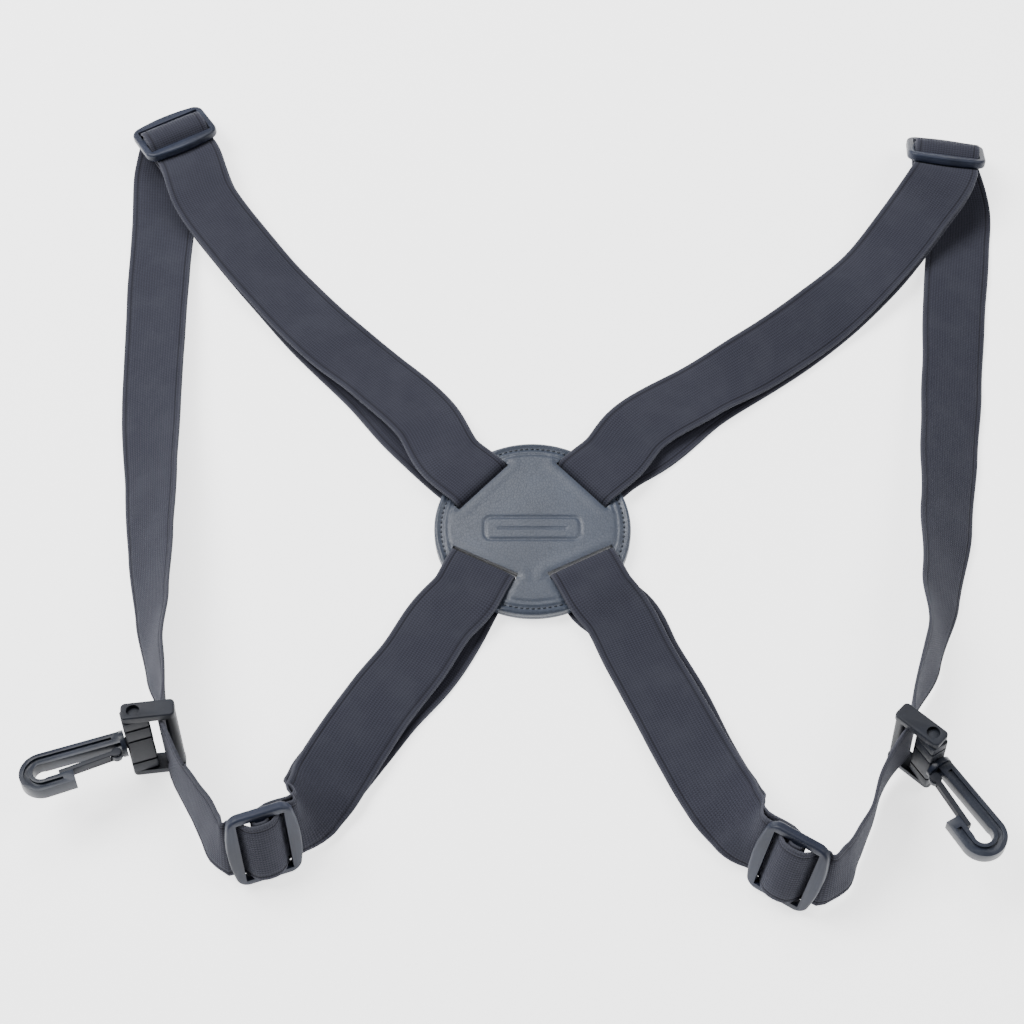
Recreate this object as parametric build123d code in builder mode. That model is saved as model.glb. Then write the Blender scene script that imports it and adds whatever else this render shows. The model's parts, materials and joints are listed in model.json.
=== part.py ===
"""Elastic X-harness: a slotted leather patch, two webbing loops, four sliders and two swivel clips.

Every side has one endless-looking run of webbing.  It is sewn on the upper slider's centre bar, runs
under the patch, comes up through a slot, goes back over the slider, down past the clip, through the
lower slider, into the patch again, and is sewn on the lower slider.  Millimetres, +Z up, and the
harness lies spread on the plane z = 0.
"""
import os
from build123d import *

# ---- driving dimensions -------------------------------------------------------------------------
strap_width = 25.0
strap_thickness = 1.2
layer_gap = 0.1                # air between webbing and what it wraps

patch_centre = (-9.1, -29.3)
patch_diameter = 70.0
patch_underside = 1.7          # height of the patch above the floor, room for the webbing below it
back_leather = 1.2
front_leather = 1.4
stiffener_thickness = 1.2
stiffener_diameter = 62.6
slot_clearance = 0.6           # slot longer than the webbing is wide
slot_width = 3.0
stitch_circle = 65.0
stitch_count = 60
stitch_size = (2.2, 0.6, 0.5)
stitch_fill = 0.8              # share of its groove's depth that a stitch fills

slider_length = 30.5
slider_width = 24.0
slider_end_width = 19.8
slider_thickness = 3.4
slider_corner = 4.5
slider_edge = 0.9
centre_bar = 3.4
side_bar = 4.2
window_corner = 0.3
near_reach = 11.6              # how far a slider carries the webbing that it is threaded with
fold_reach = 14.0              # the same, to the fold where the webbing doubles back
fold_lap = 5.0
fold_drop = 0.4                # how much further the fold's lower layer starts
window_play = 0.4              # between a side bar and the webbing that goes under it
hump_ease = 0.6                # beside the centre bar's layers
bend_radius = 0.8              # webbing's tight bends over the bars
slot_bend = 1.0                # and through the patch
sewn_corner = 1.3              # outside corner of the sewn loop
seam_setback = 1.7             # from the bar's side of the loop to the start of the seam
seam_reach = 8.6               # from the bar to the cut end
tack_rows = (4.0, 7.0)         # from the tail's end to the bartack's two rows
tack_margin = 4.0
thread_width = 0.7
thread_rise = 0.3

hook_clearance = 0.3           # between clip pieces that turn past each other
fit_clearance = 0.07           # radial, in the clip's turning fits
cheek_thickness = 2.6
cheek_width = 6.6
cheek_nose = 0.7               # cheek beyond its half width, past the pin
cheek_corner = 1.6
cheek_edge = 0.6
bar_corner = 1.4
pin_radius = 2.05
pin_recess = 1.4               # pin's end below the cheek's face
block_size = (8.6, 6.2)
block_play = 0.2               # block taller than the webbing is wide
block_corner = 0.8
block_grooves = (-8.5, 3.0, 8.5)
block_groove = (0.4, 1.0)      # depth and height of the steps round the block
bar_offset = 11.4              # pin axis to loop bar axis
bar_size = (3.6, 4.6)
wrap_radius = 3.7              # webbing's middle line round the loop bar
wrap_lead = 5.0                # straight webbing on both sides of that bend
stem_radius = 1.95
head_radius = 2.8
head_length = 2.0
collar_radius = 4.4
collar_length = 1.6
hook_reach = 39.4              # pin axis to the tip of the bow
bow_radius = 7.4
hook_band = 4.6
bow_bore = 3.0                 # radius of the seat inside the bow
hook_depth = 4.4
groove_depth = 0.9
groove_rim = 0.4               # least rim beside the grooves
groove_start = 2.5             # from the collar to the grooves
groove_end = 6.0               # from the bow's middle back to the end of the nose's groove
nose_length = 9.5              # from the bow's middle back to the nose's tip
nose_droop = 0.4
gate_root = 3.6                # gate's pivot, off the stem axis
gate_thickness = 1.8
gate_depth = 3.4
gate_pin_radius = 0.9
gate_end = 5.0                 # from the bow's middle back to the gate's tip
gate_eye_step = 0.3            # gate's eye smaller than the lug
lug_radius = 2.0
lug_thickness = 1.6
lug_root = 2.6                 # width of the lug where it leaves the shank

# ---- places -------------------------------------------------------------------------------------
# Slots: x and y from the patch centre, and the direction that the webbing leaves in.
slots = {
    "left_upper": (-18.4, 17.2, 137.0),
    "right_upper": (18.4, 17.8, 43.0),
    "left_lower": (-17.2, -14.8, 243.5),
    "right_lower": (17.2, -14.4, -63.5),
}
# Sliders: centre, direction away from the patch across the bars, how far that side dips, and how far
# the bars' ends dip that lie on its right.
sliders = {
    "left_upper": (-143.2, 180.0, 8.8, 120.0, 13.0, 0.0),
    "right_upper": (165.0, 166.5, 12.8, 80.0, 30.0, 0.0),
    "left_lower": (-85.8, -121.2, 15.6, 188.0, -13.0, -68.0),
    "right_lower": (79.5, -128.7, 15.6, -27.0, -5.0, 68.0),
}
# Clips: pin centre, direction from the loop bar to the pin, lean back of the pin axis,
# hook's turn about the pins, and which way the hook's bow lies (1 is anticlockwise from the shank).
clips = {
    "left": ((-128.6, -86.0, 16.6), 188.0, (0.0, 0.23, 0.97), 12.0, 1),
    "right": ((127.6, -91.6, 16.9), -45.0, (-0.08, 0.08, 0.99), -14.0, -1),
}
clip_headings = {"left": (82.0, 111.0), "right": (-50.0, -87.0)}

# Webbing routes between the pieces that carry it: x and y from the patch centre, height, and roll.
# A roll of 0 lies flat; a positive one raises the edge on the left of the direction of travel.
arm_fronts = {                 # patch slot to slider, the layer that shows
    "left_upper": [(-39.0, 45.8, 4.6, 0), (-57.5, 65.0, 4.0, 3), (-77.0, 82.5, 5.0, -2),
                   (-98.0, 106.5, 4.6, 2), (-114.0, 127.0, 6.0, 0), (-128.8, 148.3, 8.0, 0)],
    "right_upper": [(38.0, 41.0, 4.6, 0), (62.0, 58.0, 4.2, -4), (85.5, 73.0, 5.2, 10),
                    (108.5, 90.5, 5.6, 12), (131.5, 113.0, 6.6, -6), (150.5, 137.0, 11.0, 0)],
    "left_lower": [(-31.5, -36.4, 4.8, 0), (-41.0, -52.0, 4.0, 0), (-51.5, -67.0, 4.4, -3),
                   (-60.0, -82.0, 6.0, -9), (-67.0, -96.5, 8.6, -22), (-71.6, -107.0, 11.4, -42)],
    "right_lower": [(28.5, -33.5, 4.8, 0), (36.0, -50.0, 4.0, 0), (44.5, -68.0, 4.4, 3),
                    (52.5, -86.0, 6.2, 9), (60.0, -102.0, 9.0, 22), (65.6, -112.5, 11.8, 42)],
}
arm_backs = {                  # below the patch to the slider's sewn end, the layer underneath
    "left_upper": [(-43.0, 42.0, 0.7, 0), (-59.8, 63.0, 0.7, 0), (-77.8, 82.5, 0.8, 0),
                   (-97.2, 106.5, 1.0, 0), (-113.0, 126.0, 3.4, 0), (-127.8, 147.3, 6.0, 0)],
    "right_upper": [(41.0, 36.0, 0.7, 0), (63.5, 56.5, 0.7, 0), (86.5, 72.5, 0.8, 0),
                    (109.0, 90.5, 1.2, 0), (131.0, 112.5, 3.2, 0), (150.0, 136.0, 8.4, 0)],
    "left_lower": [(-28.5, -38.0, 0.7, 0), (-38.0, -54.0, 0.7, 0), (-49.5, -68.0, 0.8, 0),
                   (-59.8, -83.0, 2.9, -9), (-68.0, -96.0, 5.8, -22), (-73.4, -106.2, 9.2, -42)],
    "right_lower": [(31.0, -33.0, 0.7, 0), (38.5, -49.0, 0.7, 0), (47.5, -67.0, 0.8, 0),
                    (54.3, -86.0, 3.0, 9), (61.0, -101.5, 6.2, 22), (67.1, -111.7, 9.9, 42)],
}
shoulder_runs = {              # upper slider to clip
    "left": [(-147.0, 163.0, 0.8, 0), (-145.2, 138.0, 1.2, 2), (-144.0, 112.0, 3.4, 10),
             (-142.0, 80.0, 4.8, 16), (-140.0, 48.0, 6.2, 22), (-136.8, 18.0, 8.4, 33),
             (-133.8, -10.0, 10.4, 43), (-130.4, -35.0, 12.0, 54), (-127.0, -57.0, 13.8, 70)],
    "right": [(170.5, 150.0, 0.9, 0), (167.5, 128.0, 1.8, -3), (162.0, 98.0, 3.4, -10),
              (156.5, 62.0, 5.0, -18), (151.5, 32.0, 6.8, -25), (146.6, 2.0, 8.6, -34),
              (140.4, -28.0, 11.4, -50), (135.0, -52.0, 13.4, -70)],
}
underarm_runs = {              # clip to lower slider
    "left": [(-114.8, -98.0, 14.8, 78), (-109.8, -105.6, 14.6, 76), (-104.9, -113.0, 14.6, 73),
             (-101.5, -119.3, 15.0, 71)],
    "right": [(112.0, -100.0, 14.6, -84), (107.5, -112.0, 14.0, -84), (102.6, -121.0, 14.0, -80),
              (98.0, -128.8, 14.4, -74)],
}

# ---- worked out once ----------------------------------------------------------------------------
patch_x, patch_y = patch_centre
pocket_floor = patch_underside + back_leather
patch_top = pocket_floor + stiffener_thickness + front_leather
slot_length = strap_width + slot_clearance
half_strap = strap_width / 2
half_layer = strap_thickness / 2
front_layer = patch_top + layer_gap + half_layer
back_layer = patch_underside - layer_gap - half_layer
loop_lead = 14.0               # webbing beyond the slot that belongs to the patch loop
under_bar = slider_thickness / 2 + layer_gap + half_layer
slot_pitch = slider_width / 2 - side_bar - centre_bar / 2
slot_middle = centre_bar / 2 + slot_pitch / 2
block_height = strap_width + block_play
cheek_inside = block_height / 2 + hook_clearance
cheek_outside = cheek_inside + cheek_thickness

os.makedirs("parts", exist_ok=True)


def save(shape, name):
    """Label a finished piece and write it."""
    shape.label = name
    export_step(shape, f"parts/{name}.step")


def local(frame, x, y, z):
    """A point given in a frame's own coordinates."""
    return frame.from_local_coords(Vector(x, y, z))


def slot_frame(name):
    """The frame of a patch slot: X along the slot, Y the way the webbing leaves."""
    x, y, heading = slots[name]
    return Plane(Location((patch_x + x, patch_y + y, 0), (0, 0, heading - 90)))


def slider_frame(name):
    """The frame of a slider: X along its bars, Y across them and away from the patch."""
    x, y, z, heading, dip, lean = sliders[name]
    turned = Location((patch_x + x, patch_y + y, z), (0, 0, heading - 90))
    return Plane(turned * Location((0, 0, 0), (0, lean, 0)) * Location((0, 0, 0), (-dip, 0, 0)))


def clip_frame(side):
    """The frame of a clip: Z along its pins, X from the loop bar towards the hook."""
    (x, y, z), heading, lean, _, _ = clips[side]
    outward = Vector(1, 0, 0).rotate(Axis.Z, heading)
    up = Vector(*lean).normalized()
    level = (outward - up * outward.dot(up)).normalized()
    return Plane(origin=(patch_x + x, patch_y + y, z), x_dir=level, z_dir=up)


def across(origin, travel, roll):
    """The plane across webbing that travels in a direction: X along its width."""
    flat = travel.cross(Vector(0, 0, 1)).normalized()
    return Plane(origin=origin, x_dir=flat.rotate(Axis((0, 0, 0), travel), roll), z_dir=travel)


def route_sections(stations, first, last):
    """The planes across one run of webbing, between the two that its neighbours end on."""
    points = [Vector(patch_x + x, patch_y + y, z) for x, y, z, _ in stations]
    chain = [first.origin] + points + [last.origin]
    planes = [first]
    for index, station in enumerate(stations):
        travel = (chain[index + 2] - chain[index]).normalized()
        planes.append(across(points[index], travel, station[3]))
    return planes + [last]


def webbing_run(name, planes):
    """One piece of webbing lofted through its sections."""
    with BuildPart() as run:
        for plane in planes:
            with BuildSketch(plane):
                Rectangle(strap_width, strap_thickness)
        loft(ruled=True)
    save(run.part, name)


def webbing_bend(name, frame, points, radius):
    """Webbing bent in one plane: its middle line lies in the frame's YZ, its width along X."""
    with BuildPart() as bend:
        with BuildSketch(Plane(frame.origin, x_dir=frame.y_dir, z_dir=frame.x_dir)):
            with BuildLine():
                FilletPolyline(*points, radius=radius)
            trace(line_width=strap_thickness)
        extrude(amount=half_strap, both=True)
    save(bend.part, name)


# ---- patch --------------------------------------------------------------------------------------
with BuildPart() as slot_cutter:
    for name in slots:
        with BuildSketch(slot_frame(name)):
            Rectangle(slot_length, slot_width)
    extrude(amount=2 * patch_top)

with BuildPart() as patch_back:
    with BuildSketch(Plane.XY.offset(patch_underside)):
        with Locations((patch_x, patch_y)):
            Circle(patch_diameter / 2)
    extrude(amount=back_leather)
    add(slot_cutter.part, mode=Mode.SUBTRACT)
save(patch_back.part, "patch_back_leather")

with BuildPart() as stiffener:
    with BuildSketch(Plane.XY.offset(pocket_floor)):
        with Locations((patch_x, patch_y)):
            Circle(stiffener_diameter / 2)
    extrude(amount=stiffener_thickness)
    add(slot_cutter.part, mode=Mode.SUBTRACT)
save(stiffener.part, "patch_stiffener")

with BuildPart() as patch_front:
    with BuildSketch(Plane.XY.offset(pocket_floor)):
        with Locations((patch_x, patch_y)):
            Circle(patch_diameter / 2)
    extrude(amount=stiffener_thickness + front_leather)
    fillet(patch_front.edges().group_by(Axis.Z)[-1], front_leather / 2)
    with BuildSketch(Plane.XY.offset(pocket_floor)):
        with Locations((patch_x, patch_y)):
            Circle(stiffener_diameter / 2)
    extrude(amount=stiffener_thickness, mode=Mode.SUBTRACT)
    with BuildSketch(Plane.XY.offset(patch_top - stitch_size[2])):
        with Locations((patch_x, patch_y)):
            Circle(stitch_circle / 2 + stitch_size[1])
            Circle(stitch_circle / 2 - stitch_size[1], mode=Mode.SUBTRACT)
    extrude(amount=stitch_size[2], mode=Mode.SUBTRACT)
    add(slot_cutter.part, mode=Mode.SUBTRACT)
save(patch_front.part, "patch_front_leather")

with BuildPart() as stitching:
    with Locations((patch_x, patch_y, patch_top - stitch_size[2])):
        with PolarLocations(stitch_circle / 2, stitch_count):
            Box(stitch_size[1], stitch_size[0], stitch_size[2] * stitch_fill,
                align=(Align.CENTER, Align.CENTER, Align.MIN))
save(stitching.part, "patch_edge_stitching")


# ---- sliders and the webbing they carry -----------------------------------------------------------
def slider(name):
    """A three-bar slider with bowed side bars."""
    frame = slider_frame(name)
    half_length = slider_length / 2
    end_half = slider_end_width / 2
    with BuildPart() as body:
        with BuildSketch(frame):
            with BuildLine():
                near = ThreePointArc((-half_length, -end_half), (0, -slider_width / 2),
                                     (half_length, -end_half))
                right = Line(near @ 1, (half_length, end_half))
                far = ThreePointArc(right @ 1, (0, slider_width / 2), (-half_length, end_half))
                Line(far @ 1, near @ 0)
            make_face()
            fillet(vertices(), slider_corner)
        extrude(amount=slider_thickness / 2, both=True)
        rim = faces().sort_by(Axis(frame.origin, frame.z_dir))
        fillet(rim[-1].edges() + rim[0].edges(), slider_edge)
        with BuildSketch(frame):
            with GridLocations(1, 2 * slot_middle, 1, 2):
                RectangleRounded(slot_length, slot_pitch, window_corner)
        extrude(amount=slider_thickness, both=True, mode=Mode.SUBTRACT)
    save(body.part, f"{name}_slider")


hump = slider_thickness / 2 + 2 * layer_gap + 1.5 * strap_thickness
sewn_top = slider_thickness / 2 + layer_gap + half_layer
flap_level = -(under_bar + strap_thickness + layer_gap)
tail_level = flap_level - strap_thickness
fold_level = -(under_bar + 2 * strap_thickness + 2 * layer_gap)


def slider_wrap(name, folds_back):
    """Webbing over the centre bar and under both side bars, folded back where the run doubles."""
    foot = slider_width / 2 - side_bar - window_play
    shoulder = centre_bar / 2 + strap_thickness + hump_ease
    far_reach = fold_reach if folds_back else near_reach
    points = [(-near_reach, -under_bar), (-foot, -under_bar), (-shoulder, hump), (shoulder, hump),
              (foot, -under_bar), (far_reach, -under_bar)]
    if folds_back:
        points += [(fold_reach + fold_drop, fold_level), (fold_reach - fold_lap, fold_level)]
    webbing_bend(f"{name}_slider_wrap", slider_frame(name), points, bend_radius)


def sewn_end(name):
    """The webbing's end: looped round the centre bar and sewn down on itself."""
    frame = slider_frame(name)
    beside = centre_bar / 2 + layer_gap + half_layer
    seam_end = -beside - seam_setback
    with BuildPart() as end:
        with BuildSketch(Plane(frame.origin, x_dir=frame.y_dir, z_dir=frame.x_dir)):
            RectangleRounded(2 * beside + strap_thickness, 2 * sewn_top + strap_thickness, sewn_corner)
            RectangleRounded(2 * beside - strap_thickness, 2 * sewn_top - strap_thickness, window_corner,
                             mode=Mode.SUBTRACT)
            for points in (
                ((-near_reach, tail_level), (seam_end, tail_level), (-beside + layer_gap, -sewn_top)),
                ((-seam_reach, flap_level), (seam_end, flap_level), (-beside, -slider_thickness / 4)),
            ):
                with BuildLine():
                    Polyline(*points)
                trace(line_width=strap_thickness)
        extrude(amount=half_strap, both=True)
    save(end.part, f"{name}_sewn_end")
    with BuildPart() as tack:
        with BuildSketch(Plane(local(frame, 0, 0, tail_level - half_layer), x_dir=frame.x_dir,
                               z_dir=-frame.z_dir)):
            outer, inner = (near_reach - row for row in tack_rows)
            with Locations((0, outer), (0, inner)):
                Rectangle(strap_width - tack_margin, thread_width)
            middle = (outer + inner) / 2
            with Locations((-strap_width / 4, middle), (strap_width / 4, middle)):
                Rectangle(thread_width, outer - inner + thread_width)
        extrude(amount=thread_rise)
    save(tack.part, f"{name}_bartack")


# ---- arms ---------------------------------------------------------------------------------------
def arm(name):
    """Both layers between one patch slot and its slider, and the loop through the slot."""
    slot = slot_frame(name)
    bars = slider_frame(name)
    webbing_bend(f"{name}_patch_loop", slot,
                 [(loop_lead, front_layer), (0, front_layer), (0, back_layer), (loop_lead, back_layer)], slot_bend)
    outward = slot.y_dir
    into = bars.y_dir
    leaves_top = Plane(local(slot, 0, loop_lead, front_layer), x_dir=slot.x_dir, z_dir=outward)
    leaves_back = Plane(local(slot, 0, loop_lead, back_layer), x_dir=slot.x_dir, z_dir=outward)
    meets_wrap = Plane(local(bars, 0, -near_reach, -under_bar), x_dir=bars.x_dir, z_dir=into)
    meets_tail = Plane(local(bars, 0, -near_reach, tail_level), x_dir=bars.x_dir, z_dir=into)
    webbing_run(f"{name}_arm_front", route_sections(arm_fronts[name], leaves_top, meets_wrap))
    webbing_run(f"{name}_arm_back", route_sections(arm_backs[name], leaves_back, meets_tail))


# ---- clips --------------------------------------------------------------------------------------
def strap_loop(side):
    """The clip's loop: a bar for the webbing between two cheeks, each with a pin hole."""
    frame = clip_frame(side)
    back = -bar_offset - bar_size[0] / 2
    front = cheek_width / 2 + cheek_nose
    with BuildPart() as loop:
        for level in (-cheek_outside, cheek_inside):
            with BuildSketch(frame.offset(level)):
                with Locations(((back + front) / 2, 0)):
                    RectangleRounded(front - back, cheek_width, cheek_corner)
        extrude(amount=cheek_thickness)
        with BuildSketch(frame.offset(-cheek_inside)):
            with Locations((-bar_offset, 0)):
                RectangleRounded(*bar_size, bar_corner)
        extrude(amount=2 * cheek_inside)
        ends = loop.faces().sort_by(Axis(frame.origin, frame.z_dir))
        fillet(ends[0].edges() + ends[-1].edges(), cheek_edge)
        with BuildSketch(frame.offset(-cheek_outside)):
            Circle(pin_radius + fit_clearance)
        extrude(amount=2 * cheek_outside, mode=Mode.SUBTRACT)
    save(loop.part, f"{side}_clip_loop")


def swivel_block(side):
    """The block between the cheeks: two pins, steps on its faces and a bore for the hook's stem."""
    frame = clip_frame(side)
    length, width = block_size
    step, groove = block_groove
    turned = Plane(frame.location * Location((0, 0, 0), (0, 0, clips[side][3])))
    with BuildPart() as block:
        with BuildSketch(turned.offset(-block_height / 2)):
            RectangleRounded(length, width, block_corner)
        extrude(amount=block_height)
        for level in block_grooves:
            with BuildSketch(turned.offset(level)):
                Rectangle(2 * length, 2 * width)
                Rectangle(length - 2 * step, width - 2 * step, mode=Mode.SUBTRACT)
            extrude(amount=groove, mode=Mode.SUBTRACT)
        with BuildSketch(turned.offset(pin_recess - cheek_outside)):
            Circle(pin_radius)
        extrude(amount=2 * (cheek_outside - pin_recess))
        bore = Plane(local(turned, length / 2, 0, 0), x_dir=turned.y_dir, z_dir=turned.x_dir)
        with BuildSketch(bore):
            Circle(stem_radius + fit_clearance)
        extrude(amount=-length, mode=Mode.SUBTRACT)
        with BuildSketch(bore.offset(-length)):
            Circle(head_radius + fit_clearance)
        extrude(amount=head_length + 2 * hook_clearance, mode=Mode.SUBTRACT)
    save(block.part, f"{side}_swivel_block")


def hook_frame(side):
    """The frame of a hook: X out along its stem, Y towards the side its bow turns to."""
    frame = clip_frame(side)
    turn = clips[side][3]
    bow_side = clips[side][4]
    turned = Plane(frame.location * Location((0, 0, 0), (0, 0, turn)))
    return Plane(turned.origin, x_dir=turned.x_dir, z_dir=turned.z_dir * bow_side)


def snap_hook(side):
    """The hook: a headed stem that turns in the block, a flange, and a ribbed shank and bow."""
    frame = hook_frame(side)
    along = Plane(frame.origin, x_dir=frame.y_dir, z_dir=frame.x_dir)
    block_front = block_size[0] / 2
    flange = block_front + hook_clearance
    shank_start = flange + collar_length
    bow_x = hook_reach - bow_radius
    bow_y = bow_radius / 2
    band_middle = bow_radius - hook_band / 2
    nose = (bow_x - nose_length, bow_y + band_middle - nose_droop)
    with BuildPart() as hook:
        with BuildSketch(along.offset(-block_front + hook_clearance)):
            Circle(head_radius)
        extrude(amount=head_length)
        with BuildSketch(along.offset(-block_front + hook_clearance)):
            Circle(stem_radius)
        extrude(amount=2 * block_front)
        with BuildSketch(along.offset(flange)):
            Circle(collar_radius)
        extrude(amount=collar_length)
        with BuildSketch(frame):
            with BuildLine():
                Line((flange, bow_y - band_middle), (bow_x, bow_y - band_middle))
                arc = CenterArc((bow_x, bow_y), band_middle, -90, 180)
                Line(arc @ 1, nose)
            trace(line_width=hook_band)
        extrude(amount=hook_depth / 2, both=True)
        with BuildSketch(frame):
            with BuildLine():
                Line((shank_start + groove_start, bow_y - band_middle), (bow_x, bow_y - band_middle))
                rib_arc = CenterArc((bow_x, bow_y), band_middle, -90, 180)
                Line(rib_arc @ 1, (bow_x - groove_end, bow_y + band_middle - nose_droop / 2))
            trace(line_width=hook_band / 3)
        extrude(amount=hook_depth, both=True, mode=Mode.SUBTRACT)
        with BuildSketch(frame):
            with BuildLine():
                Line((shank_start, bow_y - band_middle), (bow_x, bow_y - band_middle))
                web_arc = CenterArc((bow_x, bow_y), band_middle, -90, 180)
                Line(web_arc @ 1, nose)
            trace(line_width=hook_band - 2 * groove_rim)
        extrude(amount=hook_depth / 2 - groove_depth, both=True)
        with BuildSketch(frame):
            with Locations((bow_x, bow_y)):
                Circle(bow_bore)
        extrude(amount=hook_depth / 2, both=True, mode=Mode.SUBTRACT)
        with BuildSketch(frame):
            with Locations((shank_start + lug_radius, gate_root)):
                Circle(lug_radius)
            with Locations((shank_start + lug_radius / 2, gate_root / 2)):
                Rectangle(lug_root, gate_root + lug_radius)
        extrude(amount=lug_thickness / 2, both=True)
        with BuildSketch(frame):
            with Locations((shank_start + lug_radius, gate_root)):
                Circle(gate_pin_radius + fit_clearance)
        extrude(amount=lug_thickness, both=True, mode=Mode.SUBTRACT)
    save(hook.part, f"{side}_snap_hook")


def gate(side):
    """The gate: a fork on the hook's lug, a cross pin, and a lever that closes on the nose."""
    frame = hook_frame(side)
    pivot_x = block_size[0] / 2 + hook_clearance + collar_length + lug_radius
    bow_x = hook_reach - bow_radius
    bow_y = bow_radius / 2
    tip = (bow_x - gate_end, bow_y + bow_radius - hook_band - gate_thickness / 2 - hook_clearance)
    with BuildPart() as lever:
        with BuildSketch(frame):
            with Locations((pivot_x, gate_root)):
                Circle(lug_radius - gate_eye_step)
            with BuildLine():
                Line((pivot_x, gate_root), tip)
            trace(line_width=gate_thickness)
        extrude(amount=gate_depth / 2, both=True)
        with BuildSketch(frame):
            with Locations((pivot_x, gate_root)):
                Circle(lug_radius + hook_clearance)
        extrude(amount=lug_thickness / 2 + hook_clearance, both=True, mode=Mode.SUBTRACT)
        with BuildSketch(frame):
            with Locations((pivot_x, gate_root)):
                Circle(gate_pin_radius)
        extrude(amount=gate_depth / 2, both=True)
    save(lever.part, f"{side}_gate")


def clip_wrap(side):
    """Webbing through the clip: it bends round the loop bar on the side towards the block."""
    frame = clip_frame(side)
    arrives, leaves = clip_headings[side]
    sign = 1 if leaves > arrives else -1
    start = arrives - 90 * sign
    with BuildPart() as wrap:
        with BuildSketch(frame):
            with BuildLine():
                bend = CenterArc((-bar_offset, 0), wrap_radius, start, leaves - arrives)
                PolarLine(bend @ 0, wrap_lead, arrives + 180)
                PolarLine(bend @ 1, wrap_lead, leaves)
            trace(line_width=strap_thickness)
        extrude(amount=half_strap, both=True)
    save(wrap.part, f"{side}_clip_wrap")
    ends = []
    for point, heading, reach in ((bend @ 0, arrives, -wrap_lead), (bend @ 1, leaves, wrap_lead)):
        travel = Vector(1, 0, 0).rotate(Axis.Z, heading)
        place = Vector(point) + travel * reach
        world = frame.from_local_coords(place)
        direction = (frame.from_local_coords(place + travel) - world).normalized()
        ends.append(Plane(world, x_dir=frame.z_dir * -sign, z_dir=direction))
    return ends


for side in ("left", "right"):
    upper, lower = f"{side}_upper", f"{side}_lower"
    for name in (upper, lower):
        slider(name)
        slider_wrap(name, folds_back=name == upper)
        sewn_end(name)
        arm(name)
    strap_loop(side)
    swivel_block(side)
    snap_hook(side)
    gate(side)
    arriving, leaving = clip_wrap(side)
    top, bottom = slider_frame(upper), slider_frame(lower)
    folded = Plane(local(top, 0, fold_reach - fold_lap, fold_level), x_dir=-top.x_dir, z_dir=-top.y_dir)
    threaded = Plane(local(bottom, 0, near_reach, -under_bar), x_dir=-bottom.x_dir, z_dir=-bottom.y_dir)
    webbing_run(f"{side}_shoulder_run", route_sections(shoulder_runs[side], folded, arriving))
    webbing_run(f"{side}_underarm_run", route_sections(underarm_runs[side], leaving, threaded))
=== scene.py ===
"""The harness's looks: elastic webbing, a stitched leather patch, moulded sliders and swivel clips."""
import json
import math
import random
import bmesh
import bpy
from mathutils import Matrix, Vector


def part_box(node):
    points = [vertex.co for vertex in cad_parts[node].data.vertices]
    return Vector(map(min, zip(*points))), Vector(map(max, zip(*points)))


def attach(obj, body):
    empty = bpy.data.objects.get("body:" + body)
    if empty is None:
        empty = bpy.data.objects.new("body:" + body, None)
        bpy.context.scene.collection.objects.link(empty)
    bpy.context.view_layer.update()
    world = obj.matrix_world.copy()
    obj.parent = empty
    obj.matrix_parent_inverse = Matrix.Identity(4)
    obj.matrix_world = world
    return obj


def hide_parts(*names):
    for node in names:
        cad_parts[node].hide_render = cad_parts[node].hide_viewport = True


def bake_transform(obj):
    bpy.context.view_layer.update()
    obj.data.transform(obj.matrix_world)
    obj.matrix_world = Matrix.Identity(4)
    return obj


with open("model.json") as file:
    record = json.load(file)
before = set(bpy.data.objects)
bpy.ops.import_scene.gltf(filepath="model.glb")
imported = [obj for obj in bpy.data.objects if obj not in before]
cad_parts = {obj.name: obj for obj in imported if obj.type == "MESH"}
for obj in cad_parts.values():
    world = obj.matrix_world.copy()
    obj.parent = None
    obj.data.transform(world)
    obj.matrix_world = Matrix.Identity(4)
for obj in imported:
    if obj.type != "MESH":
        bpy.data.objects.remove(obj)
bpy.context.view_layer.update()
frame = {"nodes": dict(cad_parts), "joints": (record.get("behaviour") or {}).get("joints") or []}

MM = 0.001
UP = Vector((0, 0, 1))
SIDES = ("left", "right")
LEVELS = ("upper", "lower")
joints = {joint["name"]: joint for joint in frame["joints"]}

# ---- sizes in millimetres -------------------------------------------------------------------------
strap_width = 25.0
strap_thickness = 1.2
selvedge = 2.1                 # edge of the webbing to its woven line
ribbon_step = 1.6              # length of one row of faces along the webbing
resting_height = 0.05          # webbing's lowest points over the ground

slider_thickness = 3.4
near_reach = 11.6              # slider's middle to where a strip meets it
under_bar = slider_thickness / 2 + 0.7
flap_level = -3.7              # layers under a slider: the sewn flap, the webbing's tail and the fold
tail_level = -4.9
fold_level = -5.0

front_layer = 6.2              # webbing's middle line over the patch and under it
back_layer = 1.0
loop_lead = 14.0               # length of the loop's ends, measured from its slot

bar_offset = 11.4              # clip's pins to its loop bar
wrap_radius = 3.7              # webbing's bend round the loop bar
wrap_lead = 5.0

# ---- places ---------------------------------------------------------------------------------------
# Slots: x and y from the patch centre, and the direction that the webbing leaves in.
slots = {
    "left_upper": (-18.4, 17.2, 137.0),
    "right_upper": (18.4, 17.8, 43.0),
    "left_lower": (-17.2, -14.8, 243.5),
    "right_lower": (17.2, -14.4, -63.5),
}
# Sliders: direction away from the patch across the bars, how far that side dips, and how far the
# bars' right-hand ends dip.
slider_poses = {
    "left_upper": (120.0, 13.0, 0.0),
    "right_upper": (80.0, 30.0, 0.0),
    "left_lower": (188.0, -13.0, -68.0),
    "right_lower": (-27.0, -5.0, 68.0),
}
clip_headings = {"left": (82.0, 111.0), "right": (-50.0, -87.0)}

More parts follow.
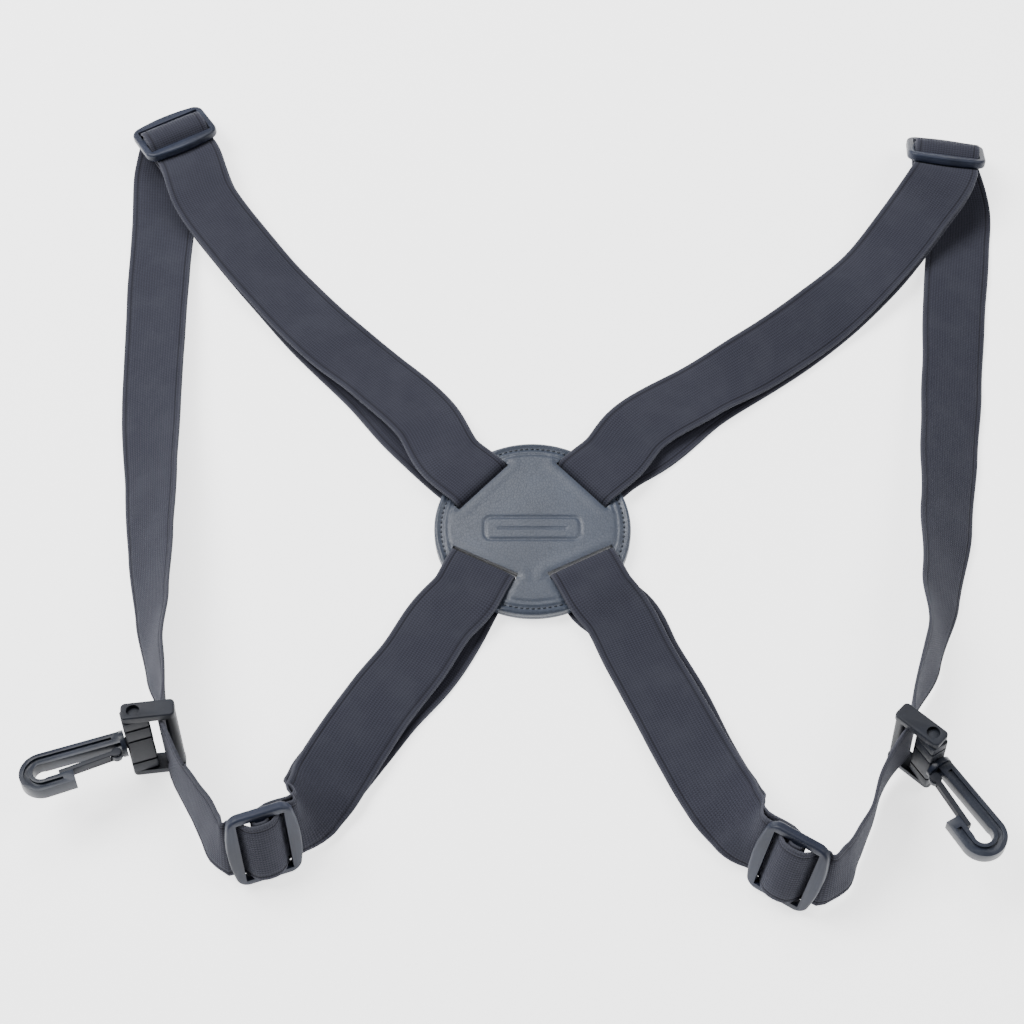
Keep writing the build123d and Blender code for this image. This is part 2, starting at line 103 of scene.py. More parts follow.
# Webbing routes: x and y from the patch centre, height, and roll.
arm_fronts = {
    "left_upper": [(-39.0, 45.8, 4.6, 0), (-57.5, 65.0, 4.0, 3), (-77.0, 82.5, 5.0, -2),
                   (-98.0, 106.5, 4.6, 2), (-114.0, 127.0, 6.0, 0), (-128.8, 148.3, 8.0, 0)],
    "right_upper": [(38.0, 41.0, 4.6, 0), (62.0, 58.0, 4.2, -4), (85.5, 73.0, 5.2, 10),
                    (108.5, 90.5, 5.6, 12), (131.5, 113.0, 6.6, -6), (150.5, 137.0, 11.0, 0)],
    "left_lower": [(-31.5, -36.4, 4.8, 0), (-41.0, -52.0, 4.0, 0), (-51.5, -67.0, 4.4, -3),
                   (-60.0, -82.0, 6.0, -9), (-67.0, -96.5, 8.6, -22), (-71.6, -107.0, 11.4, -42)],
    "right_lower": [(28.5, -33.5, 4.8, 0), (36.0, -50.0, 4.0, 0), (44.5, -68.0, 4.4, 3),
                    (52.5, -86.0, 6.2, 9), (60.0, -102.0, 9.0, 22), (65.6, -112.5, 11.8, 42)],
}
arm_backs = {
    "left_upper": [(-43.0, 42.0, 0.7, 0), (-59.8, 63.0, 0.7, 0), (-77.8, 82.5, 0.8, 0),
                   (-97.2, 106.5, 1.0, 0), (-113.0, 126.0, 3.4, 0), (-127.8, 147.3, 6.0, 0)],
    "right_upper": [(41.0, 36.0, 0.7, 0), (63.5, 56.5, 0.7, 0), (86.5, 72.5, 0.8, 0),
                    (109.0, 90.5, 1.2, 0), (131.0, 112.5, 3.2, 0), (150.0, 136.0, 8.4, 0)],
    "left_lower": [(-28.5, -38.0, 0.7, 0), (-38.0, -54.0, 0.7, 0), (-49.5, -68.0, 0.8, 0),
                   (-59.8, -83.0, 2.9, -9), (-68.0, -96.0, 5.8, -22), (-73.4, -106.2, 9.2, -42)],
    "right_lower": [(31.0, -33.0, 0.7, 0), (38.5, -49.0, 0.7, 0), (47.5, -67.0, 0.8, 0),
                    (54.3, -86.0, 3.0, 9), (61.0, -101.5, 6.2, 22), (67.1, -111.7, 9.9, 42)],
}
shoulder_runs = {
    "left": [(-147.0, 163.0, 0.8, 0), (-145.2, 138.0, 1.2, 2), (-144.0, 112.0, 3.4, 10),
             (-142.0, 80.0, 4.8, 16), (-140.0, 48.0, 6.2, 22), (-136.8, 18.0, 8.4, 33),
             (-133.8, -10.0, 10.4, 43), (-130.4, -35.0, 12.0, 54), (-127.0, -57.0, 13.8, 70)],
    "right": [(170.5, 150.0, 0.9, 0), (167.5, 128.0, 1.8, -3), (162.0, 98.0, 3.4, -10),
              (156.5, 62.0, 5.0, -18), (151.5, 32.0, 6.8, -25), (146.6, 2.0, 8.6, -34),
              (140.4, -28.0, 11.4, -50), (135.0, -52.0, 13.4, -70)],
}
underarm_runs = {
    "left": [(-114.8, -98.0, 14.8, 78), (-109.8, -105.6, 14.6, 76), (-104.9, -113.0, 14.6, 73),
             (-101.5, -119.3, 15.0, 71)],
    "right": [(112.0, -100.0, 14.6, -84), (107.5, -112.0, 14.0, -84), (102.6, -121.0, 14.0, -80),
              (98.0, -128.8, 14.4, -74)],
}

low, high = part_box("patch_back_leather")
patch_centre = Vector(((low[0] + high[0]) / 2, (low[1] + high[1]) / 2, 0)) / MM


# ---- frames of the pieces, in millimetres -----------------------------------------------------------
def placed(origin, x_axis, y_axis):
    """A frame from its origin and two of its axes."""
    x_axis = x_axis.normalized()
    z_axis = x_axis.cross(y_axis).normalized()
    y_axis = z_axis.cross(x_axis)
    turn = Matrix((x_axis, y_axis, z_axis)).transposed().to_4x4()
    return Matrix.Translation(origin) @ turn


def slot_frame(name):
    """The frame of a patch slot: X along the slot, Y the way the webbing leaves."""
    x, y, heading = slots[name]
    turn = Matrix.Rotation(math.radians(heading - 90), 4, "Z")
    return Matrix.Translation(patch_centre + Vector((x, y, 0))) @ turn


def slider_frame(name):
    """The frame of a slider: X along its bars, Y away from the patch."""
    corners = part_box(f"{name}_slider")
    centre = (Vector(corners[0]) + Vector(corners[1])) / 2 / MM
    heading, dip, lean = slider_poses[name]
    place = Matrix.Translation(centre)
    for turn, axis in ((heading - 90, "Z"), (lean, "Y"), (-dip, "X")):
        place = place @ Matrix.Rotation(math.radians(turn), 4, axis)
    return place


def clip_frame(side):
    """The frame of a clip: Z along its pins, X from the loop bar towards the hook."""
    pins = Vector(joints[f"{side}_block_pivot"]["pos_m"]) / MM
    bar = Vector(joints[f"{side}_loop_tilt"]["pos_m"]) / MM
    axis = Vector(joints[f"{side}_loop_tilt"]["axis"])
    outward = pins - bar
    return placed(pins, outward, axis.cross(outward))


# ---- webbing -------------------------------------------------------------------------------------
line_width = 0.45              # woven line at the selvedge, to each side of its middle
# Half of the webbing's section: distance in from its edge, and share of the half thickness.
half_section = [(0, 0), (0.12, 0.55), (0.5, 0.86), (1.2, 0.92), (selvedge - line_width, 0.98),
                (selvedge, 0.80), (selvedge + line_width, 1.0), (4.4, 1.03), (8.2, 1.04),
                (strap_width / 2, 1.05)]
# The webbing's unevenness: each wave's length along it, and its share of the ripple.
long_waves = ((9.5, 0.5), (23, 0.5))
edge_waves = (6.1, 17)
sway_wave = 19
wave_share, edge_share, sway_share = 0.35, 0.9, 0.35


def section_points():
    """Half-loop across the webbing: (place across, height) from one rounded edge to the other."""
    near_side = [(inset - strap_width / 2, share * strap_thickness / 2) for inset, share in half_section]
    return near_side + [(-place, height) for place, height in reversed(near_side[:-1])]


def smooth_between(start, end, leaves, arrives, span, share):
    """A point on the curve that leaves one station and arrives at the next in given directions."""
    square, cube = share ** 2, share ** 3
    return (start * (2 * cube - 3 * square + 1) + leaves * span * (cube - 2 * square + share)
            + end * (3 * square - 2 * cube) + arrives * span * (cube - square))


def fine_stations(stations):
    """Stations at an even, fine spacing on the smooth curve through the given ones."""
    points = [station[0] for station in stations]
    sides = [station[1] for station in stations]
    spans = [(end - start).length for start, end in zip(points, points[1:])]
    slopes = [(end - start) / span for start, end, span in zip(points, points[1:], spans)]
    headings = [slopes[0]]
    for index in range(1, len(points) - 1):
        before, after = spans[index - 1], spans[index]
        headings.append((slopes[index - 1] * after + slopes[index] * before) / (before + after))
    headings.append(slopes[-1])
    fine = []
    for index, span in enumerate(spans):
        rows = max(1, round(span / ribbon_step))
        for row in range(rows):
            share = row / rows
            place = smooth_between(points[index], points[index + 1], headings[index], headings[index + 1],
                                   span, share)
            eased = share * share * (3 - 2 * share)
            fine.append((place, sides[index].lerp(sides[index + 1], eased).normalized()))
    fine.append((points[-1], sides[-1]))
    return fine


def new_piece(name, mesh):
    """An object of a mesh, in the scene."""
    piece = bpy.data.objects.new(name, mesh)
    bpy.context.scene.collection.objects.link(piece)
    return piece


def webbing(name, stations, seed, ripple=0.28):
    """A strip of webbing along its stations, with woven edges and a little unevenness."""
    rng = random.Random(seed)
    phases = [rng.uniform(0, math.tau) for _ in range(5)]
    fine = fine_stations(stations)
    half_loop = section_points()
    loop = half_loop + [(place, -height) for place, height in reversed(half_loop[1:-1])]
    mesh = bpy.data.meshes.new(name)
    bm = bmesh.new()
    uv = bm.loops.layers.uv.new("weave")
    rows = []
    travelled = 0.0
    lengths = []
    for index, (place, side) in enumerate(fine):
        before = fine[max(0, index - 1)][0]
        after = fine[min(len(fine) - 1, index + 1)][0]
        travel = (after - before).normalized()
        side = (side - travel * side.dot(travel)).normalized()
        normal = side.cross(travel).normalized()
        if index:
            travelled += (place - fine[index - 1][0]).length
        lengths.append(travelled)
        wave = sum(part * math.sin(travelled / length + phase)
                   for (length, part), phase in zip(long_waves, phases))
        edge = math.prod(math.sin(travelled / length + phase)
                         for length, phase in zip(edge_waves, phases[2:]))
        sway = math.sin(travelled / sway_wave + phases[4])
        ring = []
        for across, height in loop:
            share = across / (strap_width / 2)
            lift = ripple * (wave * wave_share + edge * edge_share * share * abs(share))
            drift = ripple * sway * sway_share * share * share
            spot = place + side * (across + drift) + normal * (height + lift)
            spot.z = max(spot.z, resting_height * (1 + height))
            ring.append(bm.verts.new(spot * MM))
        rows.append(ring)
    count = len(loop)
    across_places = [across for across, _ in loop]
    for index in range(len(rows) - 1):
        for step in range(count):
            following = (step + 1) % count
            corners = ((step, index), (following, index), (following, index + 1), (step, index + 1))
            face = bm.faces.new([rows[row][column] for column, row in corners])
            face.smooth = True
            for corner, (column, row) in zip(face.loops, corners):
                corner[uv].uv = (across_places[column] * MM, lengths[row] * MM)
    for row in (0, len(rows) - 1):
        face = bm.faces.new(rows[row])
        for corner, across in zip(face.loops, across_places):
            corner[uv].uv = (across * MM, lengths[row] * MM)
    bmesh.ops.recalc_face_normals(bm, faces=bm.faces)
    bm.to_mesh(mesh)
    bm.free()
    return new_piece(name, mesh), travelled


def laid(route, first, last):
    """Stations along a route that lies on the ground, with each one's right-hand side."""
    points = [patch_centre + Vector(station[:3]) for station in route]
    chain = [first] + points + [last]
    stations = []
    for index, station in enumerate(route):
        travel = (chain[index + 2] - chain[index]).normalized()
        side = travel.cross(UP).normalized()
        side.rotate(Matrix.Rotation(math.radians(station[3]), 3, travel))
        stations.append((points[index], side))
    return stations


def carried(place, path):
    """Stations that keep a piece's own width direction: a path in its YZ plane."""
    side = (place.to_3x3() @ Vector((1, 0, 0))).normalized()
    return [(place @ Vector((0, y, z)), side) for y, z in path]


def turned_over(stations):
    """The same stations with the other edge named first."""
    return [(place, -side) for place, side in stations]


# Paths in a slot's or a slider's YZ plane: through a slot, the sewn end round a centre bar, the other
# strip's hump over it, and the upper slider's fold.
slot_loop = [(loop_lead, back_layer), (6.0, back_layer), (1.6, back_layer + 0.1), (0.3, back_layer + 1.0),
             (0.0, 2.8), (0.0, 4.4), (0.35, 5.6), (1.8, front_layer), (6.0, front_layer + 0.1),
             (loop_lead, front_layer)]
sewn_loop = [(-8.6, flap_level), (-5.2, flap_level), (-3.4, -3.2), (-2.5, -1.8), (-2.4, 0.0), (-2.25, 1.5),
             (-1.4, 2.3), (0.0, 2.42), (1.4, 2.3), (2.25, 1.5), (2.4, 0.0), (2.2, -1.5), (1.0, -2.7),
             (-1.2, -3.8), (-3.4, -4.7), (-5.8, tail_level), (-near_reach, tail_level)]
hump = [(-9.8, -under_bar), (-8.3, -under_bar - 0.1), (-6.9, -1.5), (-5.0, 1.7), (-3.4, 3.2), (-1.6, 3.72),
        (1.6, 3.72), (3.4, 3.2), (5.0, 1.7), (6.9, -1.5), (8.3, -under_bar - 0.1), (near_reach, -under_bar)]
fold_over = [(13.6, -under_bar - 0.1), (14.7, -3.1), (14.9, -3.8), (14.4, -4.6), (13.0, fold_level),
             (9.0, fold_level)]


def arm_strip(name, seed):
    """From the sewn end on a slider, under the patch, up through its slot and back to the slider."""
    slot = slot_frame(name)
    bars = slider_frame(name)
    sewn = carried(bars, sewn_loop)
    loop = carried(slot, slot_loop)
    arrives = carried(bars, [(-near_reach, -under_bar), (-9.2, -under_bar)])
    back = laid(arm_backs[name], loop[0][0], sewn[-1][0])
    front = laid(arm_fronts[name], loop[-1][0], arrives[0][0])
    stations = sewn + back[::-1] + loop + front + arrives
    return webbing(f"{name}_arm_webbing", stations, seed)


def clip_bend(side):
    """Stations round the clip's loop bar, on the side towards the block."""
    place = clip_frame(side)
    arrives, leaves = clip_headings[side]
    sign = 1 if leaves > arrives else -1
    axis = (place.to_3x3() @ Vector((0, 0, 1))).normalized() * -sign
    stations = []
    for share in (0, 0.25, 0.5, 0.75, 1):
        heading = arrives + (leaves - arrives) * share
        spoke = math.radians(heading - 90 * sign)
        local = Vector((wrap_radius * math.cos(spoke) - bar_offset, wrap_radius * math.sin(spoke), 0))
        stations.append((place @ local, axis))
    ends = []
    for (point, _), heading, reach in ((stations[0], arrives, -wrap_lead), (stations[-1], leaves, wrap_lead)):
        turn = math.radians(heading)
        course = place.to_3x3() @ Vector((math.cos(turn), math.sin(turn), 0))
        ends.append((point + course * reach, axis))
    return [ends[0]] + stations + [ends[1]]


def shoulder_strip(side, seed):
    """Over the upper slider's centre bar, folded under it, and down to the clip."""
    bars = slider_frame(f"{side}_upper")
    over = carried(bars, hump + fold_over)
    bend = clip_bend(side)
    run = laid(shoulder_runs[side], over[-1][0], bend[0][0])
    stations = over + turned_over(run) + turned_over(bend[:4])
    return webbing(f"{side}_shoulder_webbing", stations, seed)


def underarm_strip(side, seed):
    """From the clip to the lower slider and over its centre bar."""
    bars = slider_frame(f"{side}_lower")
    over = carried(bars, hump)[::-1]
    bend = clip_bend(side)
    run = laid(underarm_runs[side], bend[-1][0], over[0][0])
    stations = turned_over(bend[3:]) + turned_over(run) + over
    return webbing(f"{side}_underarm_webbing", stations, seed)


# ---- materials -----------------------------------------------------------------------------------
rib_spacing = 1.05 * MM        # webbing's lengthwise ribs and crosswise picks
pick_spacing = 0.78 * MM
floor_glow = 2.0


class Wire:
    """A shader value with arithmetic: every expression on it adds its Math nodes."""

    def __init__(self, paint, socket):
        self.paint = paint
        self.socket = socket

    def math(self, operation, *others):
        return self.paint.node("ShaderNodeMath", {"operation": operation},
                               dict(enumerate((self, *others))))[0]

    def __add__(self, other): return self.math("ADD", other)

    def __radd__(self, other): return self.math("ADD", other)

    def __sub__(self, other): return self.math("SUBTRACT", other)

    def __rsub__(self, other):
        return self.paint.node("ShaderNodeMath", {"operation": "SUBTRACT"}, {0: other, 1: self})[0]

    def __mul__(self, other): return self.math("MULTIPLY", other)

    def __rmul__(self, other): return self.math("MULTIPLY", other)

    def ramp(self, low_value, high_value):
        """0 below the first value, 1 above the second, smooth between."""
        return self.paint.node("ShaderNodeMapRange", {"interpolation_type": "SMOOTHSTEP"},
                               {"Value": self, "From Min": low_value, "From Max": high_value})[0]


class Paint:
    """One material with its principled shader."""

    def __init__(self, name):
        self.material = bpy.data.materials.new(name)
        self.material.use_nodes = True
        self.tree = self.material.node_tree
        self.shader = self.tree.nodes["Principled BSDF"]

    def node(self, kind, settings=None, inputs=None):
        """A node of a type, with its settings and its sockets' values or links; gives its outputs."""
        made = self.tree.nodes.new(kind)
        for key, value in (settings or {}).items():
            if key == "stops":
                ramp = made.color_ramp
                while len(ramp.elements) < len(value):
                    ramp.elements.new(0.5)
                for element, (place, colour) in zip(ramp.elements, value):
                    element.position = place
                    element.color = (*colour, 1)
            else:
                setattr(made, key, value)
        for key, value in (inputs or {}).items():
            if isinstance(value, Wire):
                self.tree.links.new(value.socket, made.inputs[key])
            else:
                made.inputs[key].default_value = value
        return [Wire(self, output) for output in made.outputs]

    def noise(self, where, scale, detail=2.0, roughness=0.5):
        """Even, cloudy noise from 0 to 1."""
        return self.node("ShaderNodeTexNoise", {}, {"Vector": where, "Scale": scale, "Detail": detail,
                                                    "Roughness": roughness})[0]

    def mix(self, share, first, second):
        """One colour into another."""
        made = self.tree.nodes.new("ShaderNodeMix")
        made.data_type = "RGBA"
        for key, value in ((0, share), (6, first), (7, second)):
            if isinstance(value, Wire):
                self.tree.links.new(value.socket, made.inputs[key])
            else:
                made.inputs[key].default_value = value if key == 0 else (*value, 1)
        return Wire(self, made.outputs[2])

    def bump(self, height, strength, distance):
        """Relief on the surface."""
        return self.node("ShaderNodeBump", {}, {"Height": height, "Strength": strength,
                                                "Distance": distance})[0]

    def set(self, **sockets):
        """Values or links of the shader's sockets."""
        for key, value in sockets.items():
            socket = self.shader.inputs[key.replace("_", " ").title()]
            if isinstance(value, Wire):
                self.tree.links.new(value.socket, socket)
            elif isinstance(value, tuple):
                socket.default_value = (*value, 1)
            else:
                socket.default_value = value

    def place(self):
        """The surface's own coordinates, in metres."""
        return self.node("ShaderNodeTexCoord")[3]


def webbing_material():
    """Elastic webbing: fine lengthwise ribs, crosswise picks, a selvedge line and loose fibres."""
    paint = Paint("elastic webbing")
    where = paint.node("ShaderNodeUVMap", {"uv_map": "weave"})[0]
    across, along, _ = paint.node("ShaderNodeSeparateXYZ", {}, {"Vector": where})
    rib = (across * (math.tau / rib_spacing)).math("SINE")
    pick = (along * (math.tau / pick_spacing) + rib * 0.9).math("SINE")
    edge = across.math("ABSOLUTE")
    half = strap_width / 2 * MM
    border = edge.ramp(half - 1.15 * MM, half - 0.25 * MM)
    line = (edge - (half - selvedge * MM)).math("ABSOLUTE").ramp(0.42 * MM, 0.12 * MM)
    cloud = paint.noise(where, 75.0, 3.0, 0.6)
    lint = paint.noise(where, 2600.0, 2.0, 0.7)
    worn = cloud.ramp(0.35, 0.75)
    weave = rib * 0.25 + pick * 0.35 + 0.5
    base = paint.mix(weave, (0.015, 0.0155, 0.0235), (0.033, 0.0345, 0.051))
    base = paint.mix(worn * 0.35, base, (0.040, 0.042, 0.056))
    base = paint.mix(lint.ramp(0.62, 0.8) * 0.35, base, (0.09, 0.09, 0.105))
    base = paint.mix(line * 0.6, base, (0.007, 0.007, 0.010))
    base = paint.mix(border * 0.5, base, (0.070, 0.072, 0.088))
    relief = rib * 0.5 + pick * 0.5 - line * 1.6 + lint * 0.5
    paint.set(base_color=base, roughness=0.78 + lint * 0.12,
              normal=paint.bump(relief, 0.55, 0.00012))
    paint.shader.inputs["Specular IOR Level"].default_value = 0.22
    paint.shader.inputs["Sheen Weight"].default_value = 0.06
    paint.shader.inputs["Sheen Roughness"].default_value = 0.45
    paint.shader.inputs["Sheen Tint"].default_value = (0.62, 0.66, 0.8, 1)
    return paint.material


def leather_material(name, dark, light, gloss):
    """Smooth coated leather with fine grain, faint creases and rubbed high spots."""
    paint = Paint(name)
    where = paint.place()
    grain = paint.node("ShaderNodeTexVoronoi", {"feature": "DISTANCE_TO_EDGE"},
                       {"Vector": where, "Scale": 900.0})[0]
    pore = paint.noise(where, 1500.0, 3.0, 0.6)
    cloud = paint.noise(where, 40.0, 4.0, 0.6)
    crease = paint.noise(where, 160.0, 5.0, 0.65)
    base = paint.mix(cloud.ramp(0.3, 0.75), dark, light)
    base = paint.mix(grain.ramp(0.12, 0.0) * 0.4, base, tuple(part * 0.55 for part in dark))
    relief = grain.ramp(0.0, 0.16) * 0.7 + pore * 0.3 + crease * 0.7
    paint.set(base_color=base, roughness=gloss + crease * 0.12 + grain.ramp(0.1, 0.0) * 0.12,
              normal=paint.bump(relief, 0.4, 0.00009))
    paint.shader.inputs["Specular IOR Level"].default_value = 0.5
    return paint.material


def plastic_material(name, dark, light, gloss, grain):
    """Moulded acetal: a fine spark texture, faint flow marks and paler worn spots."""
    paint = Paint(name)
    where = paint.place()
    spark = paint.noise(where, 2600.0, 2.0, 0.6)
    flow = paint.noise(where, 55.0, 4.0, 0.6)
    scuff = paint.noise(where, 420.0, 4.0, 0.75)
    base = paint.mix(flow.ramp(0.3, 0.75), dark, light)
    base = paint.mix(scuff.ramp(0.6, 0.78) * 0.25, base, (0.07, 0.077, 0.095))
    paint.set(base_color=base, roughness=gloss + spark * 0.1 + scuff.ramp(0.55, 0.8) * 0.15,
              normal=paint.bump(spark * 0.6 + scuff * 0.5, grain, 0.00006))
    paint.shader.inputs["Specular IOR Level"].default_value = 0.32
    return paint.material


def thread_material():
    """Bonded sewing thread, twisted."""
    paint = Paint("sewing thread")
    where = paint.place()
    ply = paint.noise(where, 2200.0, 2.0, 0.5)
    base = paint.mix(ply.ramp(0.3, 0.7), (0.016, 0.019, 0.027), (0.045, 0.052, 0.068))
    paint.set(base_color=base, roughness=0.6, normal=paint.bump(ply, 0.4, 0.0001))
    return paint.material


def floor_material():
    """A plain pale floor that glows a little, so that it stays pale round a dark piece."""
    paint = Paint("pale floor")
    tone = paint.noise(paint.place(), 3.0)
    paint.set(base_color=paint.mix(tone.ramp(0.2, 0.8), (0.93, 0.93, 0.935), (0.95, 0.95, 0.955)),
              roughness=0.9, emission_color=(1.0, 1.0, 1.0), emission_strength=floor_glow)
    return paint.material


webbing_finish = webbing_material()
patch_finish = leather_material("patch leather", (0.034, 0.043, 0.064), (0.050, 0.062, 0.090), 0.36)
board_finish = plastic_material("stiffener board", (0.02, 0.02, 0.02), (0.03, 0.03, 0.03), 0.6, 0.2)
thread_finish = thread_material()
slider_finish = plastic_material("slider plastic", (0.012, 0.0155, 0.029), (0.022, 0.028, 0.050), 0.40,
                                 0.25)
swivel_finish = plastic_material("swivel plastic", (0.006, 0.0075, 0.013), (0.011, 0.014, 0.023), 0.50,
                                 0.35)
hook_finish = plastic_material("hook plastic", (0.011, 0.014, 0.023), (0.020, 0.025, 0.040), 0.30, 0.2)


def finish_with(piece, material):
    """A piece's only material."""
    piece.data.materials.clear()
    piece.data.materials.append(material)


def dress_cad_nodes():
    """Materials of the CAD pieces that show as they are."""
    finish_with(frame["nodes"]["patch_back_leather"], patch_finish)
    finish_with(frame["nodes"]["patch_stiffener"], board_finish)
    for side in SIDES:
        for level in LEVELS:
            finish_with(frame["nodes"][f"{side}_{level}_bartack"], thread_finish)


def select_only(piece):
    """Makes one piece the only one selected, and the active one."""
    bpy.ops.object.select_all(action="DESELECT")
    piece.select_set(True)
    bpy.context.view_layer.objects.active = piece


def apply_modifiers(piece):
    """Applies a piece's modifiers in order."""
    select_only(piece)
    for modifier in list(piece.modifiers):
        bpy.ops.object.modifier_apply(modifier=modifier.name)


weld_distance = 0.004 * MM
flat_angle = math.radians(3)   # under this, two faces are one flat or round face
sharp_angle = math.radians(32)  # over this, an edge is rounded


def moulded(node, name, body, material, edge):
    """A moulded piece: the CAD piece's shape with every sharp edge rounded, as it leaves its mould."""
    mesh = frame["nodes"][node].data.copy()
    mesh.name = name
    piece = new_piece(name, mesh)
    bm = bmesh.new()
    bm.from_mesh(mesh)
    bmesh.ops.remove_doubles(bm, verts=bm.verts, dist=weld_distance)
    bmesh.ops.dissolve_limit(bm, angle_limit=flat_angle, verts=bm.verts, edges=bm.edges)
    bm.to_mesh(mesh)
    bm.free()
    rounding = piece.modifiers.new("mould edges", "BEVEL")
    rounding.width = edge * MM
    rounding.segments = 3
    rounding.limit_method = "ANGLE"
    rounding.angle_limit = sharp_angle
    rounding.use_clamp_overlap = True
    apply_modifiers(piece)
    select_only(piece)
    bpy.ops.object.shade_smooth_by_angle(angle=math.radians(35))
    finish_with(piece, material)
    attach(piece, body)
    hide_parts(node)


def put_on_hardware():
    """Sliders, clip loops, swivel blocks, hooks and gates."""
    for side in SIDES:
        for level in LEVELS:
            name = f"{side}_{level}_slider"
            moulded(name, f"{side}_{level}_ladder_slide", name, slider_finish, 0.45)
        moulded(f"{side}_clip_loop", f"{side}_strap_loop", f"{side}_clip_loop",
                swivel_finish, 0.4)
        moulded(f"{side}_swivel_block", f"{side}_pivot_block", f"{side}_swivel_block",
                swivel_finish, 0.2)
        moulded(f"{side}_snap_hook", f"{side}_hook_shank", f"{side}_snap_hook",
                hook_finish, 0.35)
        moulded(f"{side}_gate", f"{side}_gate_lever", f"{side}_gate", swivel_finish, 0.3)


# ---- patch ---------------------------------------------------------------------------------------
patch_radius = 35.0
patch_floor = 2.9              # the front leather's edge height above the floor
patch_crown = 5.5              # and its face
stitch_radius = 32.5
stitch_count = 104
stitch_length = 1.35
thread_radius = 0.3
thread_taper = 0.35            # share of the radius lost at a stitch's ends
thread_proud = 0.22            # its middle over the leather, and its ends' drop below that
thread_bow = 0.42
thread_rings = 7
thread_sides = 8
clear_beside = 2.4             # no stitch nearer a slot than this
clear_along = 14.2
puff = 0.7                     # how far the middle swells
panel_size = (34.0, 9.0)       # blank name panel, pressed in
panel_depth = 0.35
panel_corner = 2.5
panel_drop = 1.0               # the panel's middle below the patch's
mark_half = 12.0               # half length of the pressed bar in the panel
slot_half = 12.5               # half length of a slot
slot_size = (25.6, 3.0, 20.0)  # its cut, right through the leather
profile_steps = 84
turn_steps = 240


def pressed_line(distance, width):
    """1 in the middle of a pressed line and 0 beyond its width."""
    return max(0.0, 1 - (distance / width) ** 2) ** 2


def panel_distance(x, y):
    """Distance from the outline of the blank panel, rounded at its corners."""
    dx = abs(x) - (panel_size[0] / 2 - panel_corner)
    dy = abs(y) - (panel_size[1] / 2 - panel_corner)
    outside = math.hypot(max(dx, 0), max(dy, 0))
    return outside + min(max(dx, dy), 0) - panel_corner


def beside_slots(x, y):
    """For each slot, how far a point of the patch lies outwards of it, and how far along it."""
    for slot_x, slot_y, heading in slots.values():
        turn = math.radians(heading)
        out = (x - slot_x) * math.cos(turn) + (y - slot_y) * math.sin(turn)
        along = abs(-(x - slot_x) * math.sin(turn) + (y - slot_y) * math.cos(turn))
        yield out, along


def leather_height(x, y):
    """The front leather's height over the patch's face."""
    radius = math.hypot(x, y)
    height = patch_crown
    inner = min(1.0, radius / (stitch_radius - 1.0))
    height += puff * (1 - inner ** 2.6)
    height -= 0.55 * pressed_line(radius - stitch_radius, 1.5)
    height -= 0.25 * pressed_line(radius - stitch_radius + 2.4, 1.1)
    height -= panel_depth * pressed_line(panel_distance(x, y + panel_drop), 1.0)
    height -= 0.22 * pressed_line(math.hypot(max(abs(x) - mark_half, 0), y + panel_drop), 0.8)
    for out, along in beside_slots(x, y):
        beside = math.hypot(max(along - slot_half, 0), out)
        if out < 0:
            height += 0.12 * pressed_line(beside - 3.6, 2.6)
            height -= 0.7 * max(0.0, 1 - beside / 3.0) ** 2
        else:
            height -= 0.55 * max(0.0, 1 - max(along - 11.5, 0) / 3) * min(1, out / 1.5)
    return height


def patch_front():
    """The front leather: a spun disc, pressed at its seam and panel, cut at its slots."""
    mesh = bpy.data.meshes.new("patch_front_skin")
    skin = new_piece("patch_front_skin", mesh)
    bm = bmesh.new()
    rim = [(patch_radius - 0.1, patch_floor), (patch_radius, patch_floor + 0.5),
           (patch_radius, patch_floor + 1.5), (patch_radius - 0.18, patch_crown - 0.55),
           (patch_radius - 0.6, patch_crown - 0.18)]
    profile = [(0.0, patch_floor), (patch_radius / 2, patch_floor)] + rim
    face_radius = patch_radius - 1.1
    profile += [(face_radius * (1 - step / profile_steps), patch_crown) for step in range(profile_steps + 1)]
    verts = [bm.verts.new((radius * MM, 0, height * MM)) for radius, height in profile]
    edges = [bm.edges.new(pair) for pair in zip(verts, verts[1:])]
    bmesh.ops.spin(bm, geom=verts + edges, cent=(0, 0, 0), axis=(0, 0, 1), angle=math.tau, steps=turn_steps,
                   use_duplicate=False)
    bmesh.ops.remove_doubles(bm, verts=bm.verts, dist=0.02 * MM)
    for vert in bm.verts:
        if vert.co.z > (patch_crown - 0.3) * MM:
            x, y = vert.co.x / MM, vert.co.y / MM
            vert.co.z += (leather_height(x, y) - patch_crown) * MM
    bmesh.ops.recalc_face_normals(bm, faces=bm.faces)
    bm.to_mesh(mesh)
    bm.free()
    mesh.transform(Matrix.Translation(patch_centre * MM))
    for name in slots:
        bpy.ops.object.select_all(action="DESELECT")
        bpy.ops.mesh.primitive_cube_add(size=1)
        cutter = bpy.context.active_object
        cutter.data.transform(Matrix.Diagonal((*slot_size, 1)))
        cutter.data.transform(Matrix.Scale(MM, 4) @ slot_frame(name))
        cut = skin.modifiers.new("slot", "BOOLEAN")
        cut.operation = "DIFFERENCE"
        cut.solver = "EXACT"
        cut.object = cutter
        apply_modifiers(skin)
        bpy.data.objects.remove(cutter)
    select_only(skin)
    bpy.ops.object.shade_smooth_by_angle(angle=math.radians(40))
    finish_with(skin, patch_finish)
    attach(skin, "harness")
    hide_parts("patch_front_leather")


